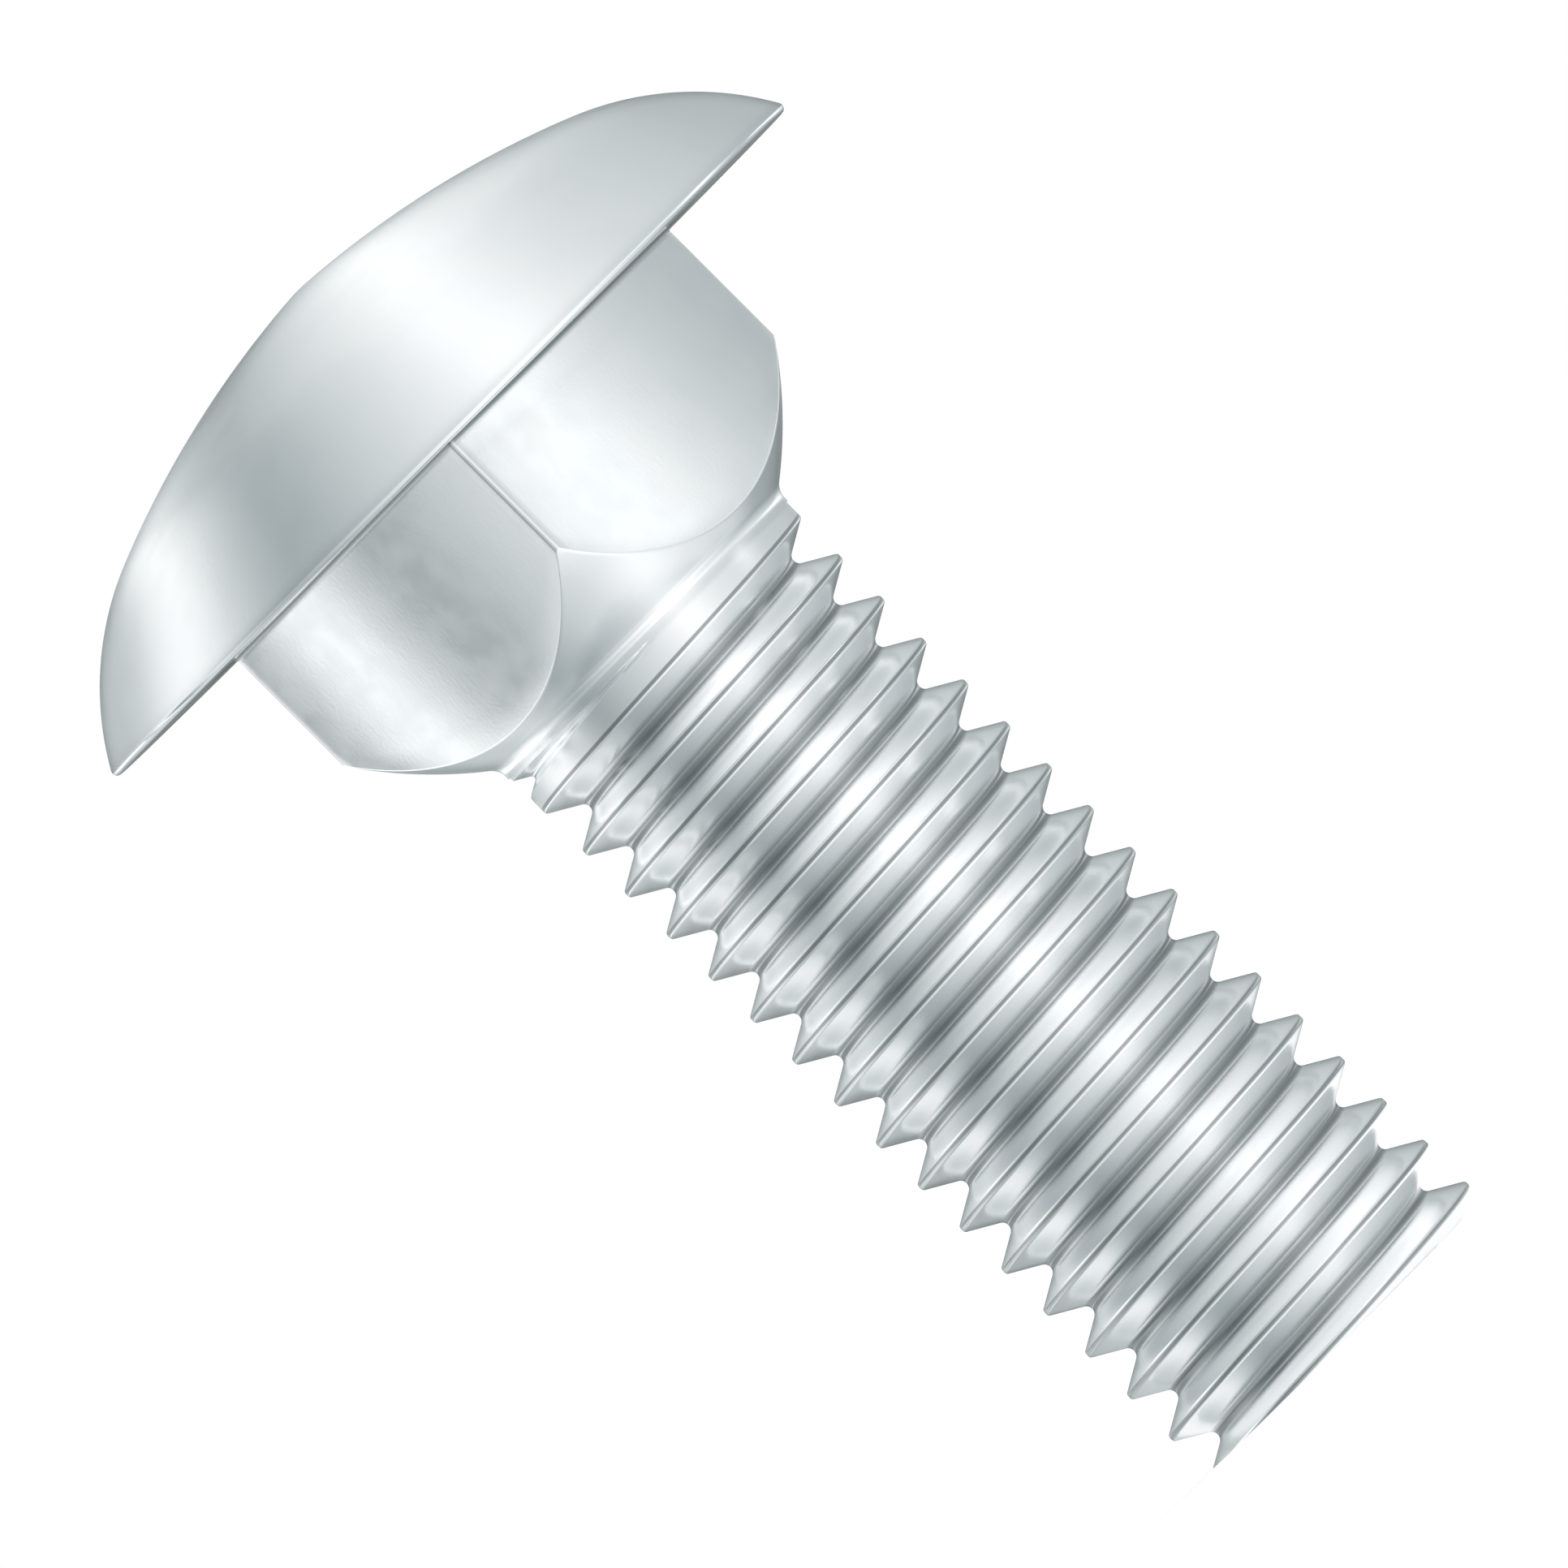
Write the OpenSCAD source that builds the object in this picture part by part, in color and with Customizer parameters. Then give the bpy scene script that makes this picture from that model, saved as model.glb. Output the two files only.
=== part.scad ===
// Carriage bolt: a low domed head, a square neck that locks in a square hole, and a right-hand thread.
// The origin is the middle of the head's flat underside, with the head above it and the thread below.

/* [Head] */
// Diameter of the head over its rim
head_d = 24; // [21:0.5:27]
// Height of the dome over the flat underside
head_h = 5.5; // [5:0.25:7]
// Slope of the crown beside its rounded tip, in degrees
crown_slope = 4; // [2:0.5:6]
// Radius of the rounded tip in the middle of the crown
crown_tip_r = 4; // [1:0.5:6]
// Radius of the dome's shoulder, between the crown and the rim
shoulder_r = 8; // [6:0.25:8.5]
// Angle between the dome and the flat underside at the rim, in degrees
rim_angle = 60.5; // [55:0.5:63]
// Radius that takes the sharpness off the rim
rim_r = 0.15; // [0.1:0.05:0.3]

/* [Square neck] */
// Width of the neck across its flats
neck_w = 11; // [10.6:0.1:12.5]
// Radius of the neck's four long edges
neck_edge_r = 0.15; // [0.1:0.05:0.6]
// Depth of the neck at its corners, below the underside of the head
neck_corner_depth = 3.85; // [2.5:0.05:4.5]
// Depth of the neck in the middle of its flats, below the underside of the head
neck_flat_depth = 6.3; // [5.5:0.05:7]
// Radius of the curve that rounds the neck's lower end
neck_end_r = 12; // [6:0.5:40]

/* [Shank] */
// Diameter of the plain shank between the neck and the thread
shank_d = 10; // [9.95:0.01:10.2]
// Radius of the hollow fillet between the neck and the shank
fillet_r = 0.5; // [0.3:0.05:0.8]
// Length of the plain shank between the fillet and the thread
shank_l = 0.1; // [0.1:0.1:10]
// Length of the whole bolt under the head
bolt_l = 32; // [20:1:60]

/* [Thread] */
// Diameter over the thread's crests
thread_d = 9.9; // [9:0.05:9.9]
// Distance from one crest to the next
pitch = 1.5; // [1:0.25:1.75]
// Angle between the two flanks of the groove, in degrees
flank_angle = 60; // [55:1:65]
// Width of the narrow land on each crest
crest_land = 0.18; // [0.1:0.01:0.25]
// Turns over which the groove's upper end deepens to its full depth
runout_turns = 0.5; // [0.25:0.05:1]
// Direction in which the groove runs out under the shank, in degrees round from +X
runout_angle = 225; // [0:5:355]

/* [Hidden] */
steel = [0.78, 0.81, 0.83];
// How far solids run into each other where they join
lap = 0.8;
// Sides of what is turned, and steps in a turn of the thread, in a large arc of an outline and in a small one
turned_sides = 96;
thread_steps = 40;
arc_steps = 8;
small_arc_steps = 3;

// Dome: the tip, the crown, the shoulder and the rim are arcs that run smoothly into each other
tip_c = [0, head_h - crown_tip_r];
rim_c = [head_d / 2 - rim_r, rim_r];
shoulder_c = rim_c - (shoulder_r - rim_r) * heading(rim_angle);
tip_to_shoulder = shoulder_c - tip_c;
radius_step = shoulder_r - crown_tip_r;
crown_reach = (norm(tip_to_shoulder) ^ 2 - radius_step ^ 2)
    / (-2 * (tip_to_shoulder * heading(crown_slope) + radius_step));
crown_c = tip_c - crown_reach * heading(crown_slope);
crown_r = crown_reach + crown_tip_r;
crown_end = bearing(shoulder_c - crown_c);

// Lower end of the neck: an arc through its corners and the middle of its flats, then the hollow fillet.
// The arc starts above the corners, outside the square that cuts it.
neck_half_diagonal = (neck_w / 2 - neck_edge_r) * sqrt(2) + neck_edge_r;
neck_corner = [neck_half_diagonal, -neck_corner_depth];
neck_flat = [neck_w / 2, -neck_flat_depth];
neck_chord = neck_flat - neck_corner;
neck_c = (neck_corner + neck_flat) / 2 + [neck_chord.y, -neck_chord.x] / norm(neck_chord)
    * sqrt(neck_end_r ^ 2 - (norm(neck_chord) / 2) ^ 2);
fillet_x = shank_d / 2 + fillet_r;
fillet_c = [fillet_x, neck_c.y - sqrt((neck_end_r + fillet_r) ^ 2 - (fillet_x - neck_c.x) ^ 2)];
neck_arc_start = bearing(neck_corner - neck_c) - lap / neck_end_r * 180 / PI;
neck_arc_end = bearing(fillet_c - neck_c);
thread_top = fillet_c.y - shank_l;

// Groove of the thread: the share of a sharp thread's depth that it has, and the share of that at the runout
depth_share = 17 / 24;
first_share = 0.1;
groove_depth = depth_share * pitch / (2 * tan(flank_angle / 2));
groove_w = pitch - crest_land;
root_w = groove_w - 2 * groove_depth * tan(flank_angle / 2);
groove_top = thread_top - max(first_share * groove_w / 2, groove_w / 2 - pitch * runout_turns);
turns = ceil((bolt_l + groove_top) / pitch) + 1;
last = turns * thread_steps;

// Direction at an angle from straight up, and the angle of a direction
function heading(angle) = [sin(angle), cos(angle)];
function bearing(direction) = atan2(direction.x, direction.y);
function arc(centre, r, from, to, steps = arc_steps) =
    [for (i = [0:steps]) centre + r * heading(from + (to - from) * i / steps)];
function around(angle, r, z) = [r * cos(angle), r * sin(angle), z];

// The four corners of the groove at one step of its helix, from the lower crest to the upper one
function groove(i) =
    let (angle = runout_angle + (i - last) * 360 / thread_steps,
         z = groove_top + (i - last) * pitch / thread_steps,
         share = max(first_share, min(1, (last - i) / thread_steps / runout_turns)),
         crest = thread_d / 2,
         root = crest - share * groove_depth,
         half_crest = share * groove_w / 2,
         half_root = share * root_w / 2)
    [around(angle, crest, z - half_crest), around(angle, root, z - half_root),
     around(angle, root, z + half_root), around(angle, crest, z + half_crest)];

module head() {
    rotate_extrude($fn = turned_sides)
        polygon(concat(
            [[0, 0]],
            arc(tip_c, crown_tip_r, 0, crown_slope, small_arc_steps),
            arc(crown_c, crown_r, crown_slope, crown_end),
            arc(shoulder_c, shoulder_r, crown_end, rim_angle),
            arc(rim_c, rim_r, rim_angle, 180, small_arc_steps)));
}

module neck_and_shank() {
    arc_top = neck_c + neck_end_r * heading(neck_arc_start);
    intersection() {
        rotate_extrude($fn = turned_sides)
            polygon(concat(
                [[0, lap], [arc_top.x, lap]],
                arc(neck_c, neck_end_r, neck_arc_start, neck_arc_end),
                arc(fillet_c, fillet_r, bearing(neck_c - fillet_c), -90, small_arc_steps),
                [[shank_d / 2, thread_top], [0, thread_top]]));
        translate([0, 0, thread_top - lap])
            linear_extrude(3 * lap - thread_top)
                rounded_square(neck_w, neck_edge_r);
    }
}

module rounded_square(w, r) {
    square([w, w - 2 * r], center = true);
    square([w - 2 * r, w], center = true);
    for (x = [-1, 1], y = [-1, 1])
        translate([x, y] * (w / 2 - r)) circle(r, $fn = 32);
}

// The threaded rod, up to a flat top inside the shank and past the bolt's end, where it is cut off square.
// Its points are the groove's corners, four to a step, then the ring of the flat top and the low middle.
module thread() {
    n = thread_steps;
    top = 4 * (last + 1);
    middle = top + n;
    corners = [for (i = [0:last]) each groove(i)];
    ring = [for (i = [0:n - 1]) around(runout_angle + i * 360 / n, thread_d / 2, thread_top + lap)];
    low_end = [0, 0, groove(0)[1].z];
    flanks = [for (i = [0:last - 1], j = [0:2]) each [
        [4 * i + j, 4 * i + j + 1, 4 * i + j + 5],
        [4 * i + j, 4 * i + j + 5, 4 * i + j + 4]]];
    lands = [for (i = [0:last - n - 1]) [4 * i + 3, 4 * (i + n), 4 * (i + n + 1), 4 * i + 7]];
    collar = [for (k = [1:n - 1]) let (i = last - n + k)
        [4 * i + 3, top + k, top + (k + 1) % n, 4 * i + 7]];
    first_collar = [top + 1, 4 * (last - n) + 7, 4 * (last - n) + 3, 4 * last, 4 * last + 3, top];
    runout_wall = [for (j = [0:3]) 4 * last + j];
    lid = [for (k = [n - 1:-1:0]) top + k];
    low_turn = [for (i = [0:n - 1]) [middle, 4 * i, 4 * (i + 1)]];
    low_step = [for (edge = [[4 * n, 3], [3, 2], [2, 1], [1, 0]]) [middle, edge[0], edge[1]]];
    intersection() {
        polyhedron(
            concat(corners, ring, [low_end]),
            concat(flanks, lands, collar, [first_collar, runout_wall, lid], low_turn, low_step));
        translate([0, 0, -bolt_l])
            cylinder(r = thread_d / 2 + lap, h = bolt_l + thread_top + 2 * lap, $fn = turned_sides);
    }
}

module bolt() {
    color(steel) {
        head();
        neck_and_shank();
        thread();
    }
}

bolt();
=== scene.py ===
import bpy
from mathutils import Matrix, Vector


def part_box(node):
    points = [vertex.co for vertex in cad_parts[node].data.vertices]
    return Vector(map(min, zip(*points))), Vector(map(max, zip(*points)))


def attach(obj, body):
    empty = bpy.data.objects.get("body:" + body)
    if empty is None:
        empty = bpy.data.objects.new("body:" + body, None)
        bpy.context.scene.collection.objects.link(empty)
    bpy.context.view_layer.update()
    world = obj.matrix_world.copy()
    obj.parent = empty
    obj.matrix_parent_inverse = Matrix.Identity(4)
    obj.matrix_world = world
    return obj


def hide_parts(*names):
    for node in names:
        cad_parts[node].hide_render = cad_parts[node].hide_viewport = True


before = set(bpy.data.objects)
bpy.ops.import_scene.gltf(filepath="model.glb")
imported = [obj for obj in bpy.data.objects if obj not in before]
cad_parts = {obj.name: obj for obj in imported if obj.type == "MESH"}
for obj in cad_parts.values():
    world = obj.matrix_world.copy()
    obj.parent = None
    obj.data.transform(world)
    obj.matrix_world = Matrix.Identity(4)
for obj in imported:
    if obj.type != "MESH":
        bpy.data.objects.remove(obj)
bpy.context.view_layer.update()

import math

import bmesh
import bpy
from mathutils import Matrix, Vector

mm = 0.001  # the bolt is shaped in millimetres and brought to metres at the end
mergeDistance = 1e-4  # millimetres between points that are taken as one
lowest, highest = (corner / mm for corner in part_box("bolt"))


# Outlines are drawn in the XZ plane, with the bolt's axis along Z

def heading(angle):  # direction at an angle from straight up
    return Vector((math.sin(math.radians(angle)), 0, math.cos(math.radians(angle))))


def bearing(direction):
    return math.degrees(math.atan2(direction.x, direction.z))


def lineTo(bm, start, place):
    end = bm.verts.new(place)
    bm.edges.new((start, end))
    return end


def arcFrom(bm, start, centre, angle, steps):  # carries a vertex round a centre and leaves its edges behind
    made = bmesh.ops.spin(bm, geom=[start], cent=centre, axis=(0, 1, 0), angle=math.radians(angle), steps=steps,
                          use_merge=False, use_duplicate=False)
    return next(item for item in made["geom_last"] if isinstance(item, bmesh.types.BMVert))


def openEdges(bm, height):  # boundary edges that lie at one height
    return [edge for edge in bm.edges
            if edge.is_boundary and all(abs(vertex.co.z - height) < 10 * mergeDistance for vertex in edge.verts)]


def addObject(name, bm):
    mesh = bpy.data.meshes.new(name)
    bm.to_mesh(mesh)
    bm.free()
    made = bpy.data.objects.new(name, mesh)
    bpy.context.scene.collection.objects.link(made)
    return made


# Head

head = {  # millimetres and degrees
    "radius": highest.x,
    "height": highest.z,
    "tipRadius": 4,
    "crownSlope": 4,  # beside the rounded tip
    "shoulderRadius": 8,
    "rimAngle": 60.5,  # between the dome and the flat underside
    "rimRadius": 0.15,
    "flatMargin": 0.4,  # width of the flat ring kept beside each rounded edge of the underside
    "tipSteps": 3,
    "crownSteps": 22,
    "shoulderSteps": 22,
    "rimSteps": 7,
    "stepsPerTurn": 240,
}


def addDome(bm):
    tipRadius, shoulderRadius, rimRadius = head["tipRadius"], head["shoulderRadius"], head["rimRadius"]
    slope, rimAngle = head["crownSlope"], head["rimAngle"]
    tipCentre = Vector((0, 0, head["height"] - tipRadius))
    rimCentre = Vector((head["radius"] - rimRadius, 0, rimRadius))
    shoulderCentre = rimCentre - (shoulderRadius - rimRadius) * heading(rimAngle)
    gap = shoulderCentre - tipCentre
    radiusStep = shoulderRadius - tipRadius
    reach = (gap.length_squared - radiusStep ** 2) / (-2 * (gap.dot(heading(slope)) + radiusStep))
    crownCentre = tipCentre - reach * heading(slope)
    crownEnd = bearing(shoulderCentre - crownCentre)
    vertex = bm.verts.new((0, 0, head["height"]))
    vertex = arcFrom(bm, vertex, tipCentre, slope, head["tipSteps"])
    vertex = arcFrom(bm, vertex, crownCentre, crownEnd - slope, head["crownSteps"])
    vertex = arcFrom(bm, vertex, shoulderCentre, rimAngle - crownEnd, head["shoulderSteps"])
    vertex = arcFrom(bm, vertex, rimCentre, 180 - rimAngle, head["rimSteps"])
    lineTo(bm, vertex, vertex.co - Vector((head["flatMargin"], 0, 0)))
    bmesh.ops.spin(bm, geom=bm.verts[:] + bm.edges[:], cent=(0, 0, 0), axis=(0, 0, 1), angle=2 * math.pi,
                   steps=head["stepsPerTurn"], use_merge=True, use_duplicate=False)
    bmesh.ops.remove_doubles(bm, verts=bm.verts[:], dist=mergeDistance)


# Square neck and shank

neck = {  # millimetres
    "width": 11,
    "edgeRadius": 0.15,
    "cornerDepth": 3.85,
    "flatDepth": 6.3,
    "endRadius": 12,
    "shankRadius": 5,
    "filletRadius": 0.5,
    "shankLength": 0.1,
    "rootRadius": 0.15,  # small hollow where the neck meets the head
    "creaseRadius": 0.12,  # softened edge between the flats and the rounded end
    "edgeSteps": 8,
    "cutsAcrossFlat": 48,
    "ringsOnRoot": 4,
    "ringsOnFlat": 8,
    "ringsOnCrease": 4,
    "ringsOnEnd": 20,
    "ringsOnFillet": 6,
}


def neckCentres():  # of the rounded end, and of the hollow fillet under it
    half, edge, radius, fillet = neck["width"] / 2, neck["edgeRadius"], neck["endRadius"], neck["filletRadius"]
    corner = Vector(((half - edge) * math.sqrt(2) + edge, 0, -neck["cornerDepth"]))
    middle = Vector((half, 0, -neck["flatDepth"]))
    chord = middle - corner
    inward = Vector((chord.z, 0, -chord.x)).normalized()
    end = (corner + middle) / 2 + inward * math.sqrt(radius ** 2 - chord.length_squared / 4)
    across = neck["shankRadius"] + fillet
    depth = end.z - math.sqrt((radius + fillet) ** 2 - (across - end.x) ** 2)
    return end, Vector((across, 0, depth))


def shankEnd():
    return neckCentres()[1].z - neck["shankLength"]


def addNeck(bm):  # rings of a rounded square, each further down, that turn into a circle at the shank
    endCentre, filletCentre = neckCentres()
    radius, fillet = neck["endRadius"], neck["filletRadius"]
    root, crease = neck["rootRadius"], neck["creaseRadius"]
    endBearing = bearing(filletCentre - endCentre)
    filletBearing = bearing(endCentre - filletCentre)
    reach = bm.verts.layers.float.new("reach")  # distance from the axis to the square, in each vertex's direction
    square = bmesh.ops.create_grid(bm, x_segments=1, y_segments=1, size=neck["width"] / 2)["verts"]
    bmesh.ops.bevel(bm, geom=square, offset=neck["edgeRadius"], offset_type="OFFSET", segments=neck["edgeSteps"],
                    profile=0.5, affect="VERTICES", material=-1)
    sides = [edge for edge in bm.edges if edge.calc_length() > neck["edgeRadius"]]
    bmesh.ops.subdivide_edges(bm, edges=sides, cuts=neck["cutsAcrossFlat"])
    bmesh.ops.delete(bm, geom=bm.faces[:], context="FACES_ONLY")
    for vertex in bm.verts:
        vertex[reach] = vertex.co.length

    def placeRing(edges, outline):  # outline gives a vertex's distance from the axis and its height
        for vertex in {vertex for edge in edges for vertex in edge.verts}:
            out, height = outline(vertex[reach])
            vertex.co = Vector((vertex.co.x, vertex.co.y, 0)).normalized() * out
            vertex.co.z = height

    def growRing(edges, outline):
        made = bmesh.ops.extrude_edge_only(bm, edges=edges)["geom"]
        fresh = set(made)
        grown = [item for item in made if isinstance(item, bmesh.types.BMEdge) and fresh.issuperset(item.verts)]
        placeRing(grown, outline)
        return grown

    def creaseCentre(out):  # of the small arc between the upright flat and the rounded end
        x = out - crease
        return Vector((x, 0, endCentre.z - math.sqrt((radius - crease) ** 2 - (x - endCentre.x) ** 2)))

    def onRoot(share):
        place = Vector((root, 0, -root)) + root * heading(-90 * share)
        return lambda out: (out + place.x, place.z)

    def onFlat(share):
        return lambda out: (out, -root + share * (creaseCentre(out).z + root))

    def onCrease(share):
        def outline(out):
            centre = creaseCentre(out)
            place = centre + crease * heading(90 + (bearing(centre - endCentre) - 90) * share)
            return place.x, place.z
        return outline

    def onEnd(share):
        def outline(out):
            start = bearing(creaseCentre(out) - endCentre)
            place = endCentre + radius * heading(start + (endBearing - start) * share)
            return place.x, place.z
        return outline

    def onFillet(share):
        place = filletCentre + fillet * heading(filletBearing + (-90 - filletBearing) * share)
        return lambda out: (place.x, place.z)

    ring = bm.edges[:]
    placeRing(ring, lambda out: (out + head["flatMargin"], 0))
    ring = growRing(ring, onRoot(0))
    for name, outlineAt in (("ringsOnRoot", onRoot), ("ringsOnFlat", onFlat), ("ringsOnCrease", onCrease),
                            ("ringsOnEnd", onEnd), ("ringsOnFillet", onFillet)):
        for step in range(neck[name]):
            ring = growRing(ring, outlineAt((step + 1) / neck[name]))
    growRing(ring, lambda out: (neck["shankRadius"], shankEnd()))


# Thread

thread = {  # millimetres, degrees and turns
    "crestRadius": 4.95,
    "pitch": 1.5,
    "flankAngle": 60,
    "depthShare": 17 / 24,  # of a sharp thread's depth
    "crestLand": 0.18,  # width of the narrow land on each crest
    "crestRounding": 0.08,
    "runoutTurns": 0.5,
    "runoutAngle": 225,  # where the groove starts, round from +X
    "firstShare": 0.1,  # of the groove's width that it starts with
    "rootSteps": 4,
    "crestSteps": 3,
    "stepsPerTurn": 120,
    "end": lowest.z,
}


def grooveDepth():
    return thread["depthShare"] * thread["pitch"] / (2 * math.tan(math.radians(thread["flankAngle"] / 2)))


def grooveHalfWidth():
    return (thread["pitch"] - thread["crestLand"]) / 2


def grooveTop():  # height of the groove's middle where it runs out
    half = grooveHalfWidth()
    return shankEnd() - max(thread["firstShare"] * half, half - thread["pitch"] * thread["runoutTurns"])


def addGroove(bm):  # half of one pitch, from the groove's bottom to the middle of the crest, and its mirror image
    crest, depth, halfWidth = thread["crestRadius"], grooveDepth(), grooveHalfWidth()
    halfFlank = math.radians(thread["flankAngle"] / 2)
    bend = 90 - thread["flankAngle"] / 2  # from the crest's land to a flank
    apexDepth = halfWidth / math.tan(halfFlank)
    rootRadius = (apexDepth - depth) / (1 / math.sin(halfFlank) - 1)
    rootCentre = Vector((crest - depth + rootRadius, 0, 0))
    rounding = thread["crestRounding"]
    tangent = rounding * math.tan(math.radians(bend / 2))
    flankTop = Vector((crest - tangent * math.cos(halfFlank), 0, halfWidth - tangent * math.sin(halfFlank)))
    vertex = bm.verts.new((crest - depth, 0, 0))
    vertex = arcFrom(bm, vertex, rootCentre, bend, thread["rootSteps"])
    vertex = lineTo(bm, vertex, (vertex.co + flankTop) / 2)
    vertex = lineTo(bm, vertex, flankTop)
    vertex = arcFrom(bm, vertex, (crest - rounding, 0, halfWidth + tangent), -bend, thread["crestSteps"])
    lineTo(bm, vertex, (crest, 0, thread["pitch"] / 2))
    bmesh.ops.mirror(bm, geom=bm.verts[:] + bm.edges[:], matrix=Matrix(), merge_dist=mergeDistance, axis="Z")


def easeRunout(bm):  # makes the groove shallower and narrower towards the shank
    pitch, crest, halfWidth, top = thread["pitch"], thread["crestRadius"], grooveHalfWidth(), grooveTop()
    for vertex in bm.verts:
        angle = math.degrees(math.atan2(vertex.co.y, vertex.co.x))
        behind = (thread["runoutAngle"] - angle) / 360 % 1
        middle = top - behind * pitch
        above = round((vertex.co.z - middle) / pitch)
        middle += above * pitch
        share = min(1, max(0, (behind - above) / thread["runoutTurns"]))
        if share == 1:
            continue
        radius = math.hypot(vertex.co.x, vertex.co.y)
        offset = vertex.co.z - middle
        width = max(thread["firstShare"], share)
        if abs(offset) < halfWidth:
            offset *= width
        else:
            landShare = (pitch / 2 - abs(offset)) / (pitch / 2 - halfWidth)
            offset = math.copysign(pitch / 2 - landShare * (pitch / 2 - halfWidth * width), offset)
        scale = (crest - (crest - radius) * share) / radius
        vertex.co = (vertex.co.x * scale, vertex.co.y * scale, middle + offset)


def addThread(bm):  # one turn of the helix and its copies, from past the runout to below the end, cut at both ends
    pitch, top, end, steps = thread["pitch"], grooveTop(), thread["end"], thread["stepsPerTurn"]
    addGroove(bm)
    bmesh.ops.translate(bm, verts=bm.verts[:], vec=(0, 0, top))
    bmesh.ops.rotate(bm, verts=bm.verts[:], cent=(0, 0, 0),
                     matrix=Matrix.Rotation(math.radians(thread["runoutAngle"]), 3, "Z"))
    bmesh.ops.spin(bm, geom=bm.verts[:] + bm.edges[:], cent=(0, 0, 0), axis=(0, 0, 1), angle=2 * math.pi,
                   dvec=(0, 0, pitch / steps), steps=steps, use_merge=False, use_duplicate=False)
    turn = bm.verts[:] + bm.edges[:] + bm.faces[:]
    for copy in range(math.ceil((top - end) / pitch) + 1):
        made = bmesh.ops.duplicate(bm, geom=turn)["geom"]
        copied = [item for item in made if isinstance(item, bmesh.types.BMVert)]
        bmesh.ops.translate(bm, verts=copied, vec=(0, 0, -(copy + 1) * pitch))
    bmesh.ops.remove_doubles(bm, verts=bm.verts[:], dist=mergeDistance)
    easeRunout(bm)
    for height, up in ((shankEnd(), 1), (end, -1)):
        bmesh.ops.bisect_plane(bm, geom=bm.verts[:] + bm.edges[:] + bm.faces[:], dist=mergeDistance,
                               plane_co=(0, 0, height), plane_no=(0, 0, up), clear_outer=True)


# The whole bolt

sharpAngle = 38  # degrees: steeper edges are shaded sharp


def buildBolt():
    bm = bmesh.new()
    for addShape in (addDome, addNeck, addThread):
        shape = bmesh.new()
        addShape(shape)
        stretch = bpy.data.meshes.new("stretch")
        shape.to_mesh(stretch)
        shape.free()
        bm.from_mesh(stretch)
        bpy.data.meshes.remove(stretch)
    bmesh.ops.bridge_loops(bm, edges=openEdges(bm, 0))
    bmesh.ops.triangle_fill(bm, edges=openEdges(bm, shankEnd()), use_beauty=True, normal=(0, 0, 1))
    bmesh.ops.contextual_create(bm, geom=openEdges(bm, thread["end"]))
    bmesh.ops.recalc_face_normals(bm, faces=bm.faces[:])
    openLeft = sum(edge.is_boundary or not edge.is_manifold for edge in bm.edges)
    print("open or doubled edges:", openLeft, "volume:", round(bm.calc_volume(), 1), "mm3")
    bmesh.ops.scale(bm, vec=(mm, mm, mm), verts=bm.verts[:])
    bolt = addObject("carriageBolt", bm)
    bolt.data.set_sharp_from_angle(angle=math.radians(sharpAngle))
    return bolt


bolt = buildBolt()
print("bolt: faces", len(bolt.data.polygons), "triangles", sum(len(p.vertices) - 2 for p in bolt.data.polygons))
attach(bolt, "root")
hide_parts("bolt")


# Bright zinc on steel, with painted shade in the thread and under the head, and a painted brightening of the
# thread

zinc = {  # sizes in millimetres
    "colour": (0.82, 0.85, 0.862, 1),
    "paleColour": (0.845, 0.87, 0.878, 1),  # the plate's faint clouds
    "cloudSize": 3.5,
    "cloudRange": (0.35, 0.65),  # of the noise, from the one colour to the other
    "roughness": (0.2, 0.235),
    "streakSize": 0.9,
    "streakRange": (0.3, 0.7),
    "waveSize": 3,  # of the unevenness left by forging
    "waveHeight": 0.005,
    "grainSize": 0.11,
    "grainHeight": 0.0012,
    "threadBrightenedColour": (0.945, 0.96, 0.968, 1),  # paler than the head: painted light that makes up for what the flanks lose between each other
    "threadFade": 0.2,  # length over which it comes in under the shank
    # colour of the painted shade in the thread's grooves, along its crests and in the corner under the head
    "paintedShadeColour": (0.12, 0.15, 0.16, 1),
    "rootShade": 0.2,  # how bright the painted shade leaves the bottom of the groove beside the rest
    "rootDepth": 0.1,  # height above the bottom over which it comes back
    "seamShade": 0.3,
    "seamWidth": 0.1,  # of the painted shade along the crest, where the rolling seam runs
    "seamFade": (0.25, 0.75),  # shares of that width, from the seam's middle
    "cornerShade": 0.35,  # of the painted shade in the corner between the neck and the head
    "cornerDepths": (0.22, 0.02),  # under the head: where it starts, and where it is full
    "cornerTop": 0.01,  # just over the underside
    "cornerMargins": (3, 3.5),  # inwards from the head's rim, between which it comes in
}


def mathNode(tree, operation, *values):
    node = tree.nodes.new("ShaderNodeMath")
    node.operation = operation
    for socket, value in zip(node.inputs, values):
        if isinstance(value, bpy.types.NodeSocket):
            tree.links.new(value, socket)
        else:
            socket.default_value = value
    return node.outputs[0]


def fade(tree, value, low, high, start=0, end=1):  # a smooth change between two values
    node = tree.nodes.new("ShaderNodeMapRange")
    node.interpolation_type = "SMOOTHSTEP"
    tree.links.new(value, node.inputs["Value"])
    for name, number in (("From Min", low), ("From Max", high), ("To Min", start), ("To Max", end)):
        node.inputs[name].default_value = number
    return node.outputs["Result"]


def blend(tree, share, first, second):  # two colours mixed
    node = tree.nodes.new("ShaderNodeMix")
    node.data_type = "RGBA"
    tree.links.new(share, node.inputs["Factor"])
    for name, value in (("A", first), ("B", second)):
        if isinstance(value, bpy.types.NodeSocket):
            tree.links.new(value, node.inputs[name])
        else:
            node.inputs[name].default_value = value
    return node.outputs["Result"]


def clouds(tree, place, size, detail=2):  # soft noise whose spots measure this many millimetres
    node = tree.nodes.new("ShaderNodeTexNoise")
    tree.links.new(place, node.inputs["Vector"])
    node.inputs["Scale"].default_value = 1 / (size * mm)
    node.inputs["Detail"].default_value = detail
    return node.outputs[0]


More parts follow.
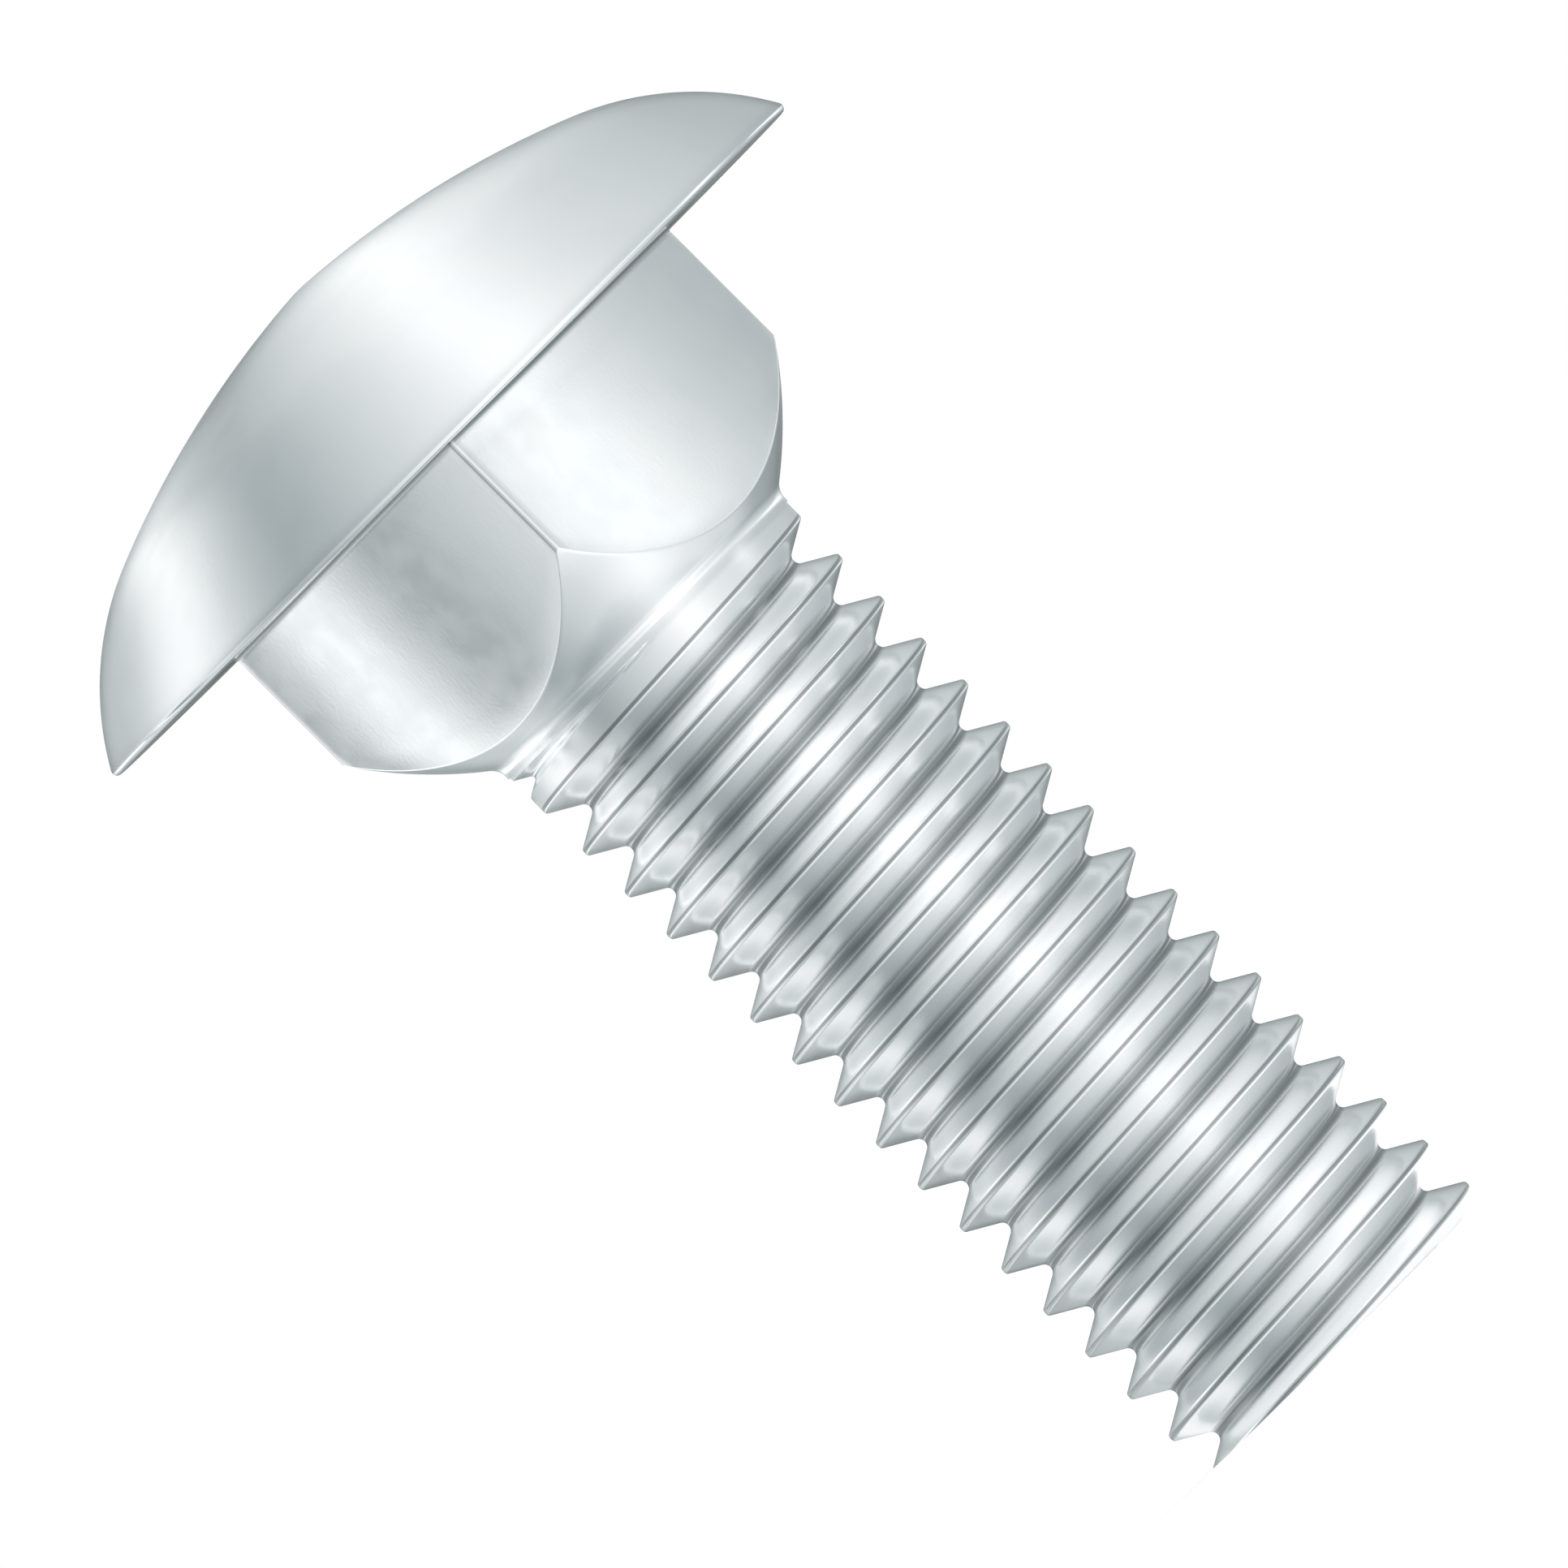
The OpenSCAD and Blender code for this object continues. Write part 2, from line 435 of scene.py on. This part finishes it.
def unevenness(tree, height, size, under=None):
    node = tree.nodes.new("ShaderNodeBump")
    node.inputs["Distance"].default_value = size * mm
    tree.links.new(height, node.inputs["Height"])
    if under:
        tree.links.new(under, node.inputs["Normal"])
    return node.outputs["Normal"]


def threadPaintedShade(tree, x, y, z, radius):  # painted shade in the bottom of the groove and along the crest's seam
    deepest = thread["crestRadius"] - grooveDepth()
    root = fade(tree, radius, deepest, deepest + zinc["rootDepth"], zinc["rootShade"], 1)
    # place along the pitch: 0 in the middle of the groove, 0.5 on the crest
    turns = mathNode(tree, "DIVIDE", mathNode(tree, "ARCTAN2", y, x), 2 * math.pi)
    along = mathNode(tree, "DIVIDE", mathNode(tree, "SUBTRACT", z, grooveTop()), thread["pitch"])
    along = mathNode(tree, "ADD", mathNode(tree, "SUBTRACT", along, turns), thread["runoutAngle"] / 360)
    fromCrest = mathNode(tree, "ABSOLUTE", mathNode(tree, "SUBTRACT", mathNode(tree, "FRACT", along), 0.5))
    fromCrest = mathNode(tree, "MULTIPLY", fromCrest, thread["pitch"])
    inner, outer = (zinc["seamWidth"] * share for share in zinc["seamFade"])
    seam = fade(tree, fromCrest, inner, outer, zinc["seamShade"], 1)
    return mathNode(tree, "SUBTRACT", 1, mathNode(tree, "MULTIPLY", root, seam))


def cornerPaintedShade(tree, z, radius):  # painted shade in the inner corner under the head
    start, full = zinc["cornerDepths"]
    outer, inner = (head["radius"] - margin for margin in zinc["cornerMargins"])
    corner = fade(tree, z, -start, -full, 0, 1 - zinc["cornerShade"])
    corner = mathNode(tree, "MULTIPLY", corner, mathNode(tree, "LESS_THAN", z, zinc["cornerTop"]))
    return mathNode(tree, "MULTIPLY", corner, fade(tree, radius, outer, inner))


def makeZinc():
    material = bpy.data.materials.new("brightZinc")
    material.use_nodes = True
    tree = material.node_tree
    shader = tree.nodes["Principled BSDF"]
    shader.inputs["Metallic"].default_value = 1
    place = tree.nodes.new("ShaderNodeTexCoord").outputs["Object"]
    cloud = clouds(tree, place, zinc["cloudSize"])
    streak = clouds(tree, place, zinc["streakSize"], detail=4)
    tree.links.new(fade(tree, streak, *zinc["streakRange"], *zinc["roughness"]), shader.inputs["Roughness"])
    waves = unevenness(tree, clouds(tree, place, zinc["waveSize"], detail=1), zinc["waveHeight"])
    grain = unevenness(tree, clouds(tree, place, zinc["grainSize"]), zinc["grainHeight"], waves)
    tree.links.new(grain, shader.inputs["Normal"])
    split = tree.nodes.new("ShaderNodeSeparateXYZ")
    tree.links.new(place, split.inputs["Vector"])
    x, y, z = (mathNode(tree, "DIVIDE", split.outputs[name], mm) for name in "XYZ")
    radius = mathNode(tree, "SQRT", mathNode(tree, "ADD", mathNode(tree, "MULTIPLY", x, x),
                                             mathNode(tree, "MULTIPLY", y, y)))
    inThread = fade(tree, z, shankEnd(), shankEnd() - zinc["threadFade"])
    # painted shade: the thread's and the corner's, mixed towards a dark colour
    paintedShadeAmount = mathNode(tree, "MULTIPLY", threadPaintedShade(tree, x, y, z, radius), inThread)
    paintedShadeAmount = mathNode(tree, "MAXIMUM", paintedShadeAmount, cornerPaintedShade(tree, z, radius))
    colour = blend(tree, fade(tree, cloud, *zinc["cloudRange"]), zinc["colour"], zinc["paleColour"])
    # painted light: the thread made paler than the rest of the bolt
    colour = blend(tree, inThread, colour, zinc["threadBrightenedColour"])
    tree.links.new(blend(tree, paintedShadeAmount, colour, zinc["paintedShadeColour"]), shader.inputs["Base Color"])
    return material


bolt.data.materials.append(makeZinc())
print("zinc plate ready")


# Studio

photo = {  # the picture's frame
    "size": 1932,
    "undersidePixel": (556.5, 546.5),  # the middle of the head's underside
    "millimetresPerPixel": 0.020568,
    "cameraAngle": 225,  # the neck's corner that faces the camera, round from +X
    "roll": 45,
    "lens": 1400,
    "sensor": 36,
}
studio = {  # millimetres, apart from the floor's radius
    "lampLevel": 0.8,  # what falls on dull surfaces from the sky of the studio
    "floorRadius": 3,  # metres
    "floorGrey": 0.8,
    "floorGlow": 0.45,  # brings the lit floor up to white for the camera and in reflections
    "tentRadius": 900,
    "tentSteps": 72,
    "tentLimit": 89.5,  # degrees that the bolt's mirroring surface may turn from the camera, up and to each side
    # brightness of the tent round the bolt, by where an upright rod shows it: from its left edge to its right edge
    "tent": [(-1, 0.6), (-0.93, 0.76), (-0.84, 1.15), (-0.76, 1.2), (-0.66, 0.82), (-0.55, 0.56), (-0.45, 0.43),
             (-0.36, 0.5), (-0.2, 0.7), (0, 0.91), (0.12, 1.08), (0.2, 1.28), (0.3, 1.2), (0.4, 1), (0.55, 0.87),
             (0.75, 0.74), (0.9, 0.65), (1, 0.55)],
    # times this, by how far the surface that mirrors it faces down or up: a dark horizon with a bright zone below
    "ring": [(-0.6, 1), (-0.4, 0.94), (-0.16, 1.85), (-0.09, 2.2), (-0.045, 0.8), (0.045, 0.8), (0.09, 0.9),
             (0.42, 0.85), (0.5, 1)],
    "spread": [(2, 0.9), (6, 0.6)],  # powers and gains that keep the bands straight over the head
    "sheetRadius": 6,  # of the hole round the bolt's end in the sheet over the floor
    "sheetHeight": 0.1,
    "floorShade": [(24, 1), (36, 0.6), (130, 0.58), (200, 1.15)],  # of the sheet, by distance from the axis
    "greyTint": (0.9, 1, 1.02, 1),
    "greyUntil": 0.4,  # brightness up to which the tint is full
    "edgeTone": 0.1,  # the tent's dark strip right behind the bolt, which draws its outline
    "edgeReach": 0.2,
    "edgeGain": 0.5,  # how much wider the strip grows towards the floor
    "cardDistance": 18,  # of the two small cards beside the neck, from the axis
    "cardHeights": (-6.9, 0),
    # brightness of each card, from the neck's near corner outwards
    "leftCard": [(-0.2, 1), (0, 0.93), (0.1, 0.8), (0.25, 0.53), (0.4, 0.2), (0.5, 0.35), (0.62, 0.9), (0.7, 1.6),
                 (0.79, 1.6), (0.85, 0.8), (0.95, 0.3), (1.1, 0.2)],
    "rightCard": [(-0.1, 1), (0.1, 1.15), (0.2, 1.45), (0.3, 1.4), (0.42, 1.0), (0.55, 0.85), (0.71, 0.7),
                  (0.87, 0.58), (1.1, 0.45)],
}


def cameraSide():  # towards the camera, and to the right of the upright bolt
    angle = math.radians(photo["cameraAngle"])
    return Vector((math.cos(angle), math.sin(angle), 0)), Vector((-math.sin(angle), math.cos(angle), 0))


def addCamera():
    back, side = cameraSide()
    turn = Matrix.Rotation(math.radians(-photo["roll"]), 3, back)
    right = turn @ side
    up = turn @ Vector((0, 0, 1))
    scale = photo["millimetresPerPixel"] * mm
    across, down = (photo["size"] / 2 - pixel for pixel in photo["undersidePixel"])
    distance = photo["size"] * scale * photo["lens"] / photo["sensor"]
    data = bpy.data.cameras.new("camera")
    data.lens = photo["lens"]
    data.sensor_width = photo["sensor"]
    data.clip_start = 0.01
    data.clip_end = 20
    camera = bpy.data.objects.new("camera", data)
    camera.rotation_mode = "QUATERNION"
    camera.rotation_quaternion = Matrix((right, up, back)).transposed().to_quaternion()
    camera.location = right * across * scale - up * down * scale + back * distance
    bpy.context.scene.collection.objects.link(camera)
    bpy.context.scene.camera = camera


def seenRays(tree):  # 1 where the camera looks, straight or by way of the bolt, and 0 for light on dull surfaces
    path = tree.nodes.new("ShaderNodeLightPath")
    seen = mathNode(tree, "MAXIMUM", path.outputs["Is Camera Ray"], path.outputs["Is Glossy Ray"])
    return mathNode(tree, "MAXIMUM", seen, path.outputs["Is Transmission Ray"])


def addFloor():
    bm = bmesh.new()
    bmesh.ops.create_circle(bm, cap_ends=True, segments=96, radius=studio["floorRadius"])
    bmesh.ops.translate(bm, verts=bm.verts[:], vec=(0, 0, thread["end"] * mm))
    floor = addObject("floor", bm)
    material = bpy.data.materials.new("paleFloor")
    material.use_nodes = True
    tree = material.node_tree
    shader = tree.nodes["Principled BSDF"]
    grey = studio["floorGrey"]
    shader.inputs["Base Color"].default_value = (grey, grey, grey, 1)
    shader.inputs["Roughness"].default_value = 1
    shader.inputs["Specular IOR Level"].default_value = 0
    shader.inputs["Emission Color"].default_value = (1, 1, 1, 1)
    glow = mathNode(tree, "MULTIPLY", seenRays(tree), studio["floorGlow"])
    tree.links.new(glow, shader.inputs["Emission Strength"])
    floor.data.materials.append(material)


def toneAt(stops, place):  # straight lines between the stops
    for (low, lowTone), (high, highTone) in zip(stops, stops[1:]):
        if place <= high:
            return lowTone + (highTone - lowTone) * max(0, place - low) / (high - low)
    return stops[-1][1]


def stageCard(name, bm):  # a glowing card that only shows in reflections
    card = addObject(name, bm)
    card.visible_camera = card.visible_diffuse = card.visible_transmission = card.visible_shadow = False
    material = bpy.data.materials.new(name)
    material.use_nodes = True
    tree = material.node_tree
    tree.nodes.clear()
    shade = tree.nodes.new("ShaderNodeAttribute")
    shade.attribute_name = "shade"
    tint = tree.nodes.new("ShaderNodeValToRGB")
    grey, white = tint.color_ramp.elements
    grey.position, grey.color = studio["greyUntil"], studio["greyTint"]
    white.position, white.color = 1, (1, 1, 1, 1)
    glow = tree.nodes.new("ShaderNodeEmission")
    out = tree.nodes.new("ShaderNodeOutputMaterial")
    tree.links.new(shade.outputs["Fac"], tint.inputs["Fac"])
    tree.links.new(tint.outputs["Color"], glow.inputs["Color"])
    tree.links.new(shade.outputs["Fac"], glow.inputs["Strength"])
    tree.links.new(glow.outputs[0], out.inputs["Surface"])
    card.data.materials.append(material)


def tentTone(direction):  # the tent's brightness where the bolt mirrors it to the camera from this direction
    back, side = cameraSide()
    normal = (direction.normalized() + back).normalized()
    out, across, up = normal.dot(back), normal.dot(side), normal.z
    spread = 1 + sum(gain * max(0, up) ** power for power, gain in studio["spread"])
    tone = toneAt(studio["tent"], across * spread) * toneAt(studio["ring"], up)
    reach = studio["edgeReach"] * (1 - studio["edgeGain"] * min(0, up))
    return studio["edgeTone"] + (tone - studio["edgeTone"]) * min(1, out / reach)


def addTentDome():
    back, side = cameraSide()
    steps, limit = studio["tentSteps"], studio["tentLimit"]
    bm = bmesh.new()
    shade = bm.verts.layers.float.new("shade")
    rows = []
    for row in range(steps + 1):
        rise = math.radians(limit * row / steps)
        up, level = math.sin(rise), math.cos(rise)
        rows.append([])
        for column in range(steps + 1):
            turn = math.radians(-limit + 2 * limit * column / steps)
            normal = back * level * math.cos(turn) + side * level * math.sin(turn) + Vector((0, 0, up))
            direction = 2 * level * math.cos(turn) * normal - back
            vertex = bm.verts.new(direction * studio["tentRadius"] * mm)
            vertex[shade] = tentTone(direction)
            rows[-1].append(vertex)
    for below, above in zip(rows, rows[1:]):
        for corners in zip(below, below[1:], above[1:], above):
            bm.faces.new(corners)
    stageCard("tent", bm)


def addTentFloor():  # a sheet close over the floor, whose rim stands up to the dome
    back, side = cameraSide()
    steps, hole = studio["tentSteps"], studio["sheetRadius"]
    flatRows = steps // 2
    bm = bmesh.new()
    shade = bm.verts.layers.float.new("shade")
    rows = []
    for row in range(flatRows + 2):
        reach = hole * (studio["tentRadius"] / hole) ** min(1, row / flatRows)
        height = 0 if row > flatRows else thread["end"] + studio["sheetHeight"]
        rows.append([])
        for column in range(2 * steps):
            angle = math.pi * column / steps
            direction = (back * math.cos(angle) + side * math.sin(angle)) * reach
            vertex = bm.verts.new((direction + Vector((0, 0, height))) * mm)
            tone = tentTone(direction + Vector((0, 0, thread["end"] / 2)))
            vertex[shade] = tone * toneAt(studio["floorShade"], reach)
            rows[-1].append(vertex)
    for inner, outer in zip(rows, rows[1:]):
        for corners in zip(inner, inner[1:] + inner[:1], outer[1:] + outer[:1], outer):
            bm.faces.new(corners)
    stageCard("tentFloor", bm)


def addNeckCards():
    back, side = cameraSide()
    corner = neck["width"] / math.sqrt(2)
    for name, sign in (("leftCard", -1), ("rightCard", 1)):
        bm = bmesh.new()
        shade = bm.verts.layers.float.new("shade")
        columns = []
        for place, tone in studio[name]:
            foot = back * corner * (1 - place) + side * sign * studio["cardDistance"]
            column = [bm.verts.new((foot + Vector((0, 0, height))) * mm) for height in studio["cardHeights"]]
            for vertex in column:
                vertex[shade] = tone
            columns.append(column)
        for left, right in zip(columns, columns[1:]):
            bm.faces.new((left[0], right[0], right[1], left[1]))
        stageCard(name, bm)


def addWorld():
    world = bpy.data.worlds.new("studio")
    bpy.context.scene.world = world
    world.use_nodes = True
    tree = world.node_tree
    background = tree.nodes["Background"]
    background.inputs["Color"].default_value = (1, 1, 1, 1)
    level = mathNode(tree, "MAXIMUM", seenRays(tree), studio["lampLevel"])
    tree.links.new(level, background.inputs["Strength"])


addCamera()
addFloor()
addTentDome()
addTentFloor()
addNeckCards()
addWorld()
bpy.context.scene.view_settings.view_transform = "Standard"
print("studio ready")
